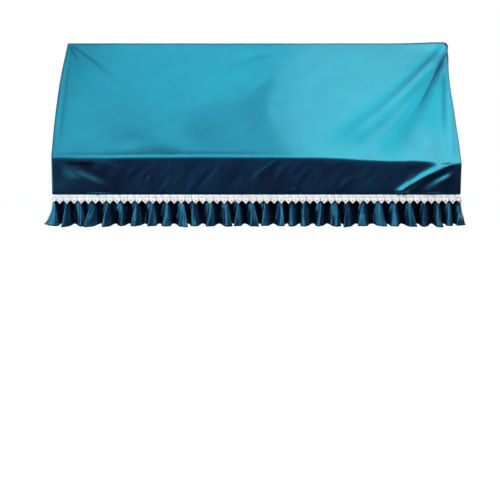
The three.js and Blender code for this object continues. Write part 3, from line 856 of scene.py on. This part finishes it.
# The hem seen from above, as a path from the rear left corner round the front to the rear right corner
hemPath = {
    "cornerRadius": 0.012,
    "seamGap": 0.0005,
}
hemStraight = cover["halfWidth"] - hemPath["cornerRadius"]
hemCorner = math.pi / 2 * hemPath["cornerRadius"]
hemSide = cover["rearY"] - cover["thickness"] - cover["frontY"] - hemPath["cornerRadius"]
hemHalf = hemStraight + hemCorner + hemSide


def hemPoint(place, out, z):
    along = np.abs(place)
    radius = hemPath["cornerRadius"] + out
    turn = np.clip((along - hemStraight) / hemPath["cornerRadius"], 0, math.pi / 2)
    back = np.maximum(along - hemStraight - hemCorner, 0)
    x = np.where(along <= hemStraight, along, hemStraight + radius * np.sin(turn))
    y = cover["frontY"] + hemPath["cornerRadius"] - radius * np.cos(turn) + back
    return np.stack([np.sign(place) * x, y, np.broadcast_to(z, x.shape)], axis=-1)


# Frill: a gathered strip. Each flute has the place of its crest at the seam, its depth beside the usual one,
# and how far it leans to the right by its hem.
fluteColumns = ("at", "depth", "lean")
frontFlutes = [
    (-0.704, 1.05, -0.008), (-0.659, 0.85, 0.002), (-0.611, 1.00, -0.012), (-0.552, 1.00, -0.008),
    (-0.507, 0.90, -0.010), (-0.445, 1.05, -0.006), (-0.388, 0.95, 0.003), (-0.336, 1.10, 0.004),
    (-0.281, 0.90, 0.006), (-0.232, 1.00, -0.006), (-0.169, 1.10, -0.008), (-0.110, 0.95, 0.010),
    (-0.069, 0.90, 0.010), (-0.018, 1.00, 0.006), (0.035, 0.90, 0.005), (0.091, 1.15, 0.006),
    (0.137, 0.85, 0.005), (0.182, 1.00, -0.005), (0.242, 1.10, -0.010), (0.292, 0.95, 0.002),
    (0.344, 1.00, -0.006), (0.403, 1.05, 0.002), (0.459, 0.85, 0.004), (0.515, 1.00, 0.010),
    (0.574, 1.05, 0.008), (0.630, 0.95, 0.002), (0.680, 1.00, 0.004), (0.720, 0.75, 0.008),
]
frillSheet = {
    "drop": 0.1175,
    "gathering": 1.5,  # length of the strip beside the hem
    "rows": 20,
    "rowCrowding": 0.9,  # below 1, rows are closer toward the hem
    "opening": 0.9,  # how early down the strip its gathers open
    "columnsPerFlute": 38,
    "thickness": 0.0016,
    "flare": 0.012,
    "flatHead": (0.03, 0.14),  # the gathers are pressed flat in the seam
    "headRise": 0.004,  # the head goes up behind the hem
    "headInset": 0.0032,
    "headDepth": 0.05,
    "gatherAtSeam": 0.0022,
    "gatherAtHem": 0.0180,
    "inset": 0.0034,
    "crestAtSeam": 0.14,  # share of the pitch that the crest takes
    "crestAtHem": 0.58,
    "crestVaries": 0.18,
    "twin": 0.80,  # most that a second ridge shows on a crest
    "sway": 0.011,
    "curve": 0.007,
    "overhang": 0.6,  # share of the way to flanks that stand square to the hem
    "skew": 0.45,
    "tilts": (-0.4, 1.0),
    "roundHem": 0.003,
    "notch": 0.006,
    "notchStart": 0.55,  # share of the way from crest to valley
    "unevenHem": 0.0030,
    "pucker": 0.0012,
    "ripple": 0.0018,
    "rippleSize": 0.023,
    "pleat": 0.0026,
    "pleatSize": 0.008,
    "pleatEase": (0.1, 0.5),
    "overhangEase": (0.05, 0.7),
    "wander": 0.002,
    "hemRidge": 0.0006,
    "hemDepth": 0.05,
    "sidePitch": 0.051,
    "sideStart": -0.005,
    # how much the flutes of the ends vary, and by what turn from one to the next
    "sideDepths": (0.12, 2.3),
    "sideLeans": (0.007, 1.7),
    "leftLean": -0.7,  # beside the lean at the right
    "cornerDepth": (1.35, 0.85),  # left and right
    "cornerKick": 0.017,  # how far the left corner stands out and up
    "cornerLift": 0.010,
    "kickStart": (-0.002, 0.010),
    "kickEnd": 0.02,
    # painted shade in the frill's valleys, deeper left of each crest, and painted light on its crests
    "valleyShade": (0.94, 0.66),  # left and right of each crest
    "valleyShadeEnds": (0.36, 0.03),  # share of the crest
    "crestLight": 0.34,
    "crestLightStarts": (0.04, 0.4),
    "napVaries": 0.05,
    "glossAndHighlight": 0.12,
    "seed": 41,
}
laceBand = {
    "gap": 0.0006,
    "drop": 0.0332,
    "lean": 0.204,
    "tooth": 0.0267,
    "valley": 0.0205,
    "eyelet": 0.0216,
    "eyeletRadius": 0.0016,
    "wander": 0.0008,
    "tuck": 0.0018,  # its head bends in over the seam
    "tuckDepth": 0.008,
    "cover": 0.004,  # the frill stays behind it to this far below its tips
    "clear": 0.0016,
    "ladderTop": 0.0052,
    "ladderFoot": 0.0112,
    "ladderSag": 0.0002,
}


def laceOut(below):
    tucked = laceBand["tuck"] * (1 - smoothStep(below, 0, laceBand["tuckDepth"]))
    return laceBand["gap"] + laceBand["lean"] * below - tucked


def allFlutes(sheet):
    cornerAt = hemStraight + hemCorner / 2
    count = int((hemHalf - cornerAt) / sheet["sidePitch"])
    leftDepth, rightDepth = sheet["cornerDepth"]
    deeper, depthTurn = sheet["sideDepths"]
    leaning, leanTurn = sheet["sideLeans"]
    side = []
    for i in range(1, count + 1):
        at = cornerAt + i * sheet["sidePitch"] + sheet["sideStart"]
        side.append((at, 1 + deeper * math.sin(i * depthTurn), leaning * math.sin(i * leanTurn)))
    left = [(-at, depth, sheet["leftLean"] * lean) for at, depth, lean in side[::-1]]
    left.append((-cornerAt, leftDepth, 0.0))
    return left + frontFlutes + [(cornerAt, rightDepth, 0.0)] + side


def makeFrill(sheet):
    flutes = [dict(zip(fluteColumns, row)) for row in allFlutes(sheet)]
    rng = np.random.default_rng(sheet["seed"])
    steps = sheet["columnsPerFlute"]
    rows = []
    for i, flute in enumerate(flutes):
        left = (flutes[i - 1]["at"] + flute["at"]) / 2 if i else -hemHalf
        right = (flute["at"] + flutes[i + 1]["at"]) / 2 if i + 1 < len(flutes) else hemHalf
        tilt, turn = rng.uniform(*sheet["tilts"]), rng.uniform(0, math.tau)
        swing = flute["lean"] + sheet["sway"] * rng.uniform(-1, 1)
        curve = sheet["curve"] * rng.uniform(-1, 1)
        full = sheet["crestVaries"] * rng.uniform(-1, 1)
        second = sheet["twin"] * rng.uniform(0, 1) ** 2
        longer = sheet["unevenHem"] * rng.uniform(-1, 1)
        for step in range(steps):
            turned = 2 * step / steps - 1
            reach = flute["at"] - left if turned < 0 else right - flute["at"]
            rows.append((flute["at"], reach, swing, curve, flute["depth"], math.pi * turned, right - left,
                         tilt, turn, full, second, longer))
    columns = np.array(rows).T[:, None, :]
    at, reach, lean, curve, depth, angle, pitch, skew, phase, full, second, longer = columns
    share = np.concatenate([[0], np.linspace(0, 1, sheet["rows"] + 1) ** sheet["rowCrowding"]])[:, None]
    behindHem = np.arange(len(share))[:, None] == 0
    crest = (1 + np.cos(angle)) / 2
    spread = np.log(blend(sheet["crestAtSeam"], sheet["crestAtHem"] + full, share)) / math.log(0.5)
    fromCrest = np.abs(angle / math.pi) ** spread
    at = at + reach * np.sign(angle) * fromCrest
    gather = blend(sheet["gatherAtSeam"], sheet["gatherAtHem"], share ** sheet["opening"])
    wave = depth * np.cos(angle) - second * share * crest * np.cos(3 * angle + phase)
    gathers = gather * wave + sheet["pucker"] * (1 - share) ** 2 * np.cos(3 * angle + phase)
    gathers = gathers * smoothStep(share, *sheet["flatHead"])
    out = sheet["flare"] * share + gathers - sheet["inset"]
    out = out + sheet["ripple"] * share * softNoise(at + 7, share * 0.12, sheet["rippleSize"], 33)
    pleats = softNoise(at + 9, share * 0.016, sheet["pleatSize"], 37)
    out = out + sheet["pleat"] * smoothStep(share, *sheet["pleatEase"]) * pleats
    hemTop = 1 - sheet["hemDepth"]
    out = out + sheet["hemRidge"] * smoothStep(share, hemTop, hemTop + 0.2 * sheet["hemDepth"])
    out = out - sheet["headInset"] * (1 - smoothStep(share, 0, sheet["headDepth"]))
    below = share * sheet["drop"] + hemPath["seamGap"] - sheet["headRise"] * behindHem
    underLace = below < laceBand["drop"] + laceBand["cover"]
    out = np.where(underLace, np.minimum(out, laceOut(below) - laceBand["clear"]), out)
    rounding = sheet["overhang"] * pitch / (4 * math.pi) * np.sin(2 * angle)
    rounding = rounding * smoothStep(share, *sheet["overhangEase"])
    side = -sheet["skew"] * skew * gather * crest
    swing = (lean * share + curve * np.sin(math.pi * share)) * crest
    wander = sheet["wander"] * share * softNoise(at, share * 0.1, 0.04, 35)
    place = at + rounding + swing + side + wander
    place = np.clip(place, -hemHalf, hemHalf)
    pastFront = -place - hemStraight
    kicked = smoothStep(pastFront, *sheet["kickStart"]) * crest * share ** 2
    kicked = kicked * (1 - smoothStep(pastFront - hemCorner, 0, sheet["kickEnd"]))
    out = out + sheet["cornerKick"] * kicked
    lift = sheet["roundHem"] * fromCrest ** 2 + sheet["notch"] * smoothStep(fromCrest, sheet["notchStart"], 1)
    z = cover["hemZ"] - below + share ** 2 * (lift - longer * crest) + sheet["cornerLift"] * kicked
    points = hemPoint(place, out, z)
    cloth = np.stack([at * 1.6, np.broadcast_to(-below, at.shape)], axis=-1)
    # painted light: the crests are coloured lighter than the valleys
    napLightAndShade = sheet["crestLight"] * smoothStep(crest, *sheet["crestLightStarts"])
    napLightAndShade = napLightAndShade + sheet["napVaries"] * softNoise(at, share, 0.05, 65)
    # painted shade in the valleys, darker left of each crest than right of it
    leftShade, rightShade = sheet["valleyShade"]
    shaded = blend(leftShade, rightShade, smoothStep(angle, -1.5, 1.5))
    dullAndShade = shaded * smoothStep(crest, *sheet["valleyShadeEnds"])
    pile = {"napLightAndShade": napLightAndShade, "glossAndHighlight": sheet["glossAndHighlight"], "dullAndShade": dullAndShade}
    thickness = sheet["thickness"]
    return clothObject("gatheredFrill", points, cloth, pile, thickness, velvetShaded, velvetBack)


frill = makeFrill(frillSheet)
print("frill:", len(frill.data.polygons), "faces")

# Lace: crocheted yarn, charted for one repeat of two teeth as strands in place along it, depth below its head
# and lift off its back, and repeated along the hem
laceYarn = {
    "sides": 6,
    "head": 0.00130,
    "bar": 0.00150,
    "spoke": 0.00165,
    "ring": 0.00095,
    "border": 0.00135,
    "picot": 0.00110,
    "barCount": 9,
    "spokeCount": 9,
    "tipSharp": 1.45,
    "headStep": 1.75,  # between the rows of chain, in their radius
    "fanTop": 0.0120,
    "fanFoot": (0.10, 0.90),  # shares of the tooth
    "fanMargins": (0.0017, 0.0028),  # of narrow and of wide joints
    "footInset": 0.0022,
    "borderInset": 0.0024,
    "picotInset": 0.0002,
    "picotCount": 19,
    "picotSwell": 0.28,
}


def strandTube(line, radius, flatten):
    # one strand as a closed tube of few sides, a little flatter than round
    line = np.array(line, float)
    radius = np.broadcast_to(radius, len(line))
    ahead = np.gradient(line, axis=0)
    ahead /= np.linalg.norm(ahead, axis=1)[:, None]
    lift = np.array((0.0, 0.0, 1.0))
    across = np.cross(ahead, lift)
    across /= np.linalg.norm(across, axis=1)[:, None]
    over = np.cross(across, ahead)
    turns = (np.arange(laceYarn["sides"]) * math.tau / laceYarn["sides"])[None, :, None]
    ring = np.cos(turns) * across[:, None, :] + flatten * np.sin(turns) * over[:, None, :]
    points = line[:, None, :] + radius[:, None, None] * ring
    count, sides = points.shape[:2]
    faces = []
    for i in range(count - 1):
        for k in range(sides):
            n = (k + 1) % sides
            faces.append((i * sides + k, i * sides + n, (i + 1) * sides + n, (i + 1) * sides + k))
    faces.append(tuple(range(sides))[::-1])
    faces.append(tuple((count - 1) * sides + k for k in range(sides)))
    return points.reshape(-1, 3), faces


def scallop(share, outset):
    # the lower edge of one tooth, from one valley round the tip to the next
    width = laceBand["tooth"]
    fall = laceBand["drop"] - laceBand["valley"]
    shape = (1 - np.abs(2 * share - 1)) ** laceYarn["tipSharp"]
    return np.stack([width * share, laceBand["valley"] - outset + fall * shape], axis=-1)


def toothStrands(wideJoint):
    width, head, rail = laceBand["tooth"], laceYarn["head"], laceBand["ladderFoot"]
    strands = []

    def add(line, radius, lift=0.0, flatten=0.75):
        line = np.array(line, float)
        if line.shape[1] == 2:
            line = np.column_stack([line, np.full(len(line), lift)])
        strands.append((line, radius, flatten))

    for row in range(3):  # the head, three rows of close chain
        depth = head * (1 + laceYarn["headStep"] * row)
        add([(0, depth), (width / 2, depth), (width, depth)], head, 0.0002 * (row % 2))
    for i in range(laceYarn["barCount"]):  # ladder of short bars below it
        u = width * (i + 0.5) / laceYarn["barCount"]
        add([(u, laceBand["ladderTop"]), (u, rail)], laceYarn["bar"])
    add([(0, rail), (width / 2, rail + laceBand["ladderSag"]), (width, rail)], laceYarn["border"], 0.0004)
    ring = np.array((width / 2, laceBand["eyelet"]))
    reach = laceBand["eyeletRadius"] + laceYarn["ring"]
    turns = np.linspace(0, math.tau, 13)
    add(ring + reach * np.stack([np.sin(turns), np.cos(turns)], axis=-1), laceYarn["ring"], 0.0005, 1.0)
    margin = laceYarn["fanMargins"][wideJoint]
    for i in range(laceYarn["spokeCount"]):  # fan from the ladder down to the edge
        share = i / (laceYarn["spokeCount"] - 1)
        top = np.array((blend(margin, width - margin, share), laceYarn["fanTop"]))
        foot = scallop(np.array([blend(*laceYarn["fanFoot"], share)]), laceYarn["footInset"])[0]
        middle = blend(top, foot, (laceBand["eyelet"] - top[1]) / max(foot[1] - top[1], 0.001))
        aside = middle[0] - ring[0]
        if abs(aside) < 0.0004:  # the middle spoke stops at the eyelet
            add([top, ring - (0, reach)], laceYarn["spoke"])
            add([ring + (0, reach), foot], laceYarn["spoke"])
        elif foot[1] > laceBand["eyelet"]:  # its neighbours bend round it
            middle[0] = ring[0] + math.copysign(max(abs(aside), reach + 0.3 * laceYarn["spoke"]), aside)
            add([top, blend(top, middle, 0.6), middle, foot], laceYarn["spoke"])
        else:
            add([top, foot], laceYarn["spoke"])
    shares = np.linspace(0, 1, 15)
    add(scallop(shares, laceYarn["borderInset"]), laceYarn["border"], 0.0005, 0.9)
    picots = laceYarn["picotCount"]
    knots = laceYarn["picot"] * (1 + laceYarn["picotSwell"] * np.cos(np.arange(picots) * math.pi))
    add(scallop(np.linspace(0.02, 0.98, picots), laceYarn["picotInset"]), knots, 0.0002, 0.9)
    return strands


def makeLace():
    count = int(round(2 * hemHalf / laceBand["tooth"]))
    pitch = 2 * hemHalf / count
    points, faces, total = [], [], 0
    for tooth in range(count):
        for line, radius, flatten in toothStrands(tooth % 2 == 0):
            ends, sides = strandTube(line, radius, flatten)
            place = -hemHalf + pitch * tooth + ends[:, 0] * pitch / laceBand["tooth"]
            wander = laceBand["wander"] * softNoise(place + 3, ends[:, 1], 0.03, 51)
            out = laceOut(ends[:, 1]) + laceYarn["border"] + ends[:, 2]
            out = out + wander * ends[:, 1] / laceBand["drop"]
            z = cover["hemZ"] - hemPath["seamGap"] - ends[:, 1]
            points.append(hemPoint(np.clip(place, -hemHalf, hemHalf), out, z))
            faces += [tuple(corner + total for corner in face) for face in sides]
            total += len(ends)
    mesh = bpy.data.meshes.new("laceEdging")
    mesh.from_pydata(np.concatenate(points).tolist(), [], faces)
    mesh.polygons.foreach_set("use_smooth", np.ones(len(mesh.polygons), bool))
    mesh.materials.append(cottonYarn)
    return addObject("laceEdging", mesh)


lace = makeLace()
print("lace:", len(lace.data.polygons), "faces")

for piece, node, slot in (
    (mainCloth, "main_panel", "velvet"),
    (sideLeft, "side_panel_left", "velvet"),
    (sideRight, "side_panel_right", "velvet"),
    (frill, "frill", "velvet"),
    (lace, "lace_edging", "lace"),
):
    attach(piece, "root")
    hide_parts(node)

# Studio: a pale floor, soft boxes and the camera at the photograph's angle
studio = {
    "floorRadius": 14.0,
    "floorColour": (0.93, 0.93, 0.93),
    "floorGlow": (0.98, 0.98, 0.98),
    "floorSeenByCloth": (0.02, 0.03, 0.05),
    "surround": (0.004, 0.012, 0.035),
    "backdrop": (1.0, 1.0, 1.0),
}
lampColumns = ("name", "place", "aim", "size", "power", "colour")
lamps = [
    ("overhead", (0.05, -1.70, 1.72), (0.05, -0.32, -0.25), (3.4, 1.65), 109, (1.0, 0.99, 0.96)),
    ("overheadRight", (0.90, -1.40, 1.75), (0.35, -0.32, -0.25), (1.0, 1.2), 6, (1.0, 0.96, 0.70)),
    ("overheadEnd", (2.20, -1.70, 1.72), (2.20, -0.32, -0.25), (0.9, 1.65), 22, (1.0, 0.99, 0.96)),
    ("left", (-3.40, -2.75, 0.20), (0.0, -0.45, -0.62), (2.5, 1.8), 66, (0.84, 0.93, 1.0)),
    ("farLeft", (-3.40, -0.55, 0.10), (0.0, -0.30, -0.62), (1.8, 1.8), 56, (0.85, 0.93, 1.0)),
    ("right", (2.90, 0.50, 0.10), (0.76, -0.10, -0.40), (0.8, 1.6), 14, (0.85, 0.93, 1.0)),
    ("rear", (0.30, 2.60, 0.90), (0.0, 0.10, -0.30), (2.6, 1.4), 90, (0.97, 0.99, 1.0)),
]
view = {
    "place": (-0.0238, -3.5175, -0.4689),
    "pitch": 6.127,
    "lens": 59.08,
    "sensor": 36.0,
}


def seenColour(nodes, links, byCloth, byCamera):
    # one colour for the camera and another for what the cloth mirrors
    seen = nodes.new("ShaderNodeLightPath").outputs["Is Camera Ray"]
    shade = nodes.new("ShaderNodeMix")
    shade.data_type = "RGBA"
    setInputs(shade, {"A": (*byCloth, 1), "B": (*byCamera, 1)})
    links.new(seen, shade.inputs["Factor"])
    return seen, shade.outputs["Result"]


def makeFloor():
    count = 96
    turns = np.arange(count) * math.tau / count
    ring = studio["floorRadius"] * np.stack([np.cos(turns), np.sin(turns)], axis=-1)
    mesh = bpy.data.meshes.new("floor")
    mesh.from_pydata([(x, y, cover["floorZ"]) for x, y in ring], [], [tuple(range(count))])
    floor = addObject("floor", mesh)
    material, nodes, links, shader = newMaterial("floorPaint")
    seen, colour = seenColour(nodes, links, studio["floorSeenByCloth"], studio["floorColour"])
    links.new(colour, shader.inputs["Base Color"])
    links.new(seen, shader.inputs["Emission Strength"])
    setInputs(shader, {"Emission Color": (*studio["floorGlow"], 1), "Roughness": 0.9})
    mesh.materials.append(material)


def makeSurround():
    world = bpy.data.worlds.new("surround")
    bpy.context.scene.world = world
    world.use_nodes = True
    nodes, links = world.node_tree.nodes, world.node_tree.links
    colour = seenColour(nodes, links, studio["surround"], studio["backdrop"])[1]
    links.new(colour, nodes["Background"].inputs["Color"])


def makeLamps():
    for row in lamps:
        lamp = dict(zip(lampColumns, row))
        light = bpy.data.lights.new(lamp["name"], "AREA")
        light.shape = "RECTANGLE"
        light.size, light.size_y = lamp["size"]
        light.energy = lamp["power"]
        light.color = lamp["colour"]
        holder = addObject(lamp["name"], light)
        holder.location = lamp["place"]
        towards = Vector(lamp["aim"]) - Vector(lamp["place"])
        holder.rotation_euler = towards.to_track_quat("-Z", "Y").to_euler()
        holder.visible_camera = False


def makeCamera():
    camera = bpy.data.cameras.new("camera")
    camera.lens = view["lens"]
    camera.sensor_width = view["sensor"]
    camera.clip_end = 60
    holder = addObject("camera", camera)
    holder.location = view["place"]
    holder.rotation_euler = (math.radians(90 - view["pitch"]), 0, 0)
    bpy.context.scene.camera = holder


makeFloor()
makeSurround()
makeLamps()
makeCamera()
bpy.context.scene.view_settings.view_transform = "Standard"
print("studio ready")
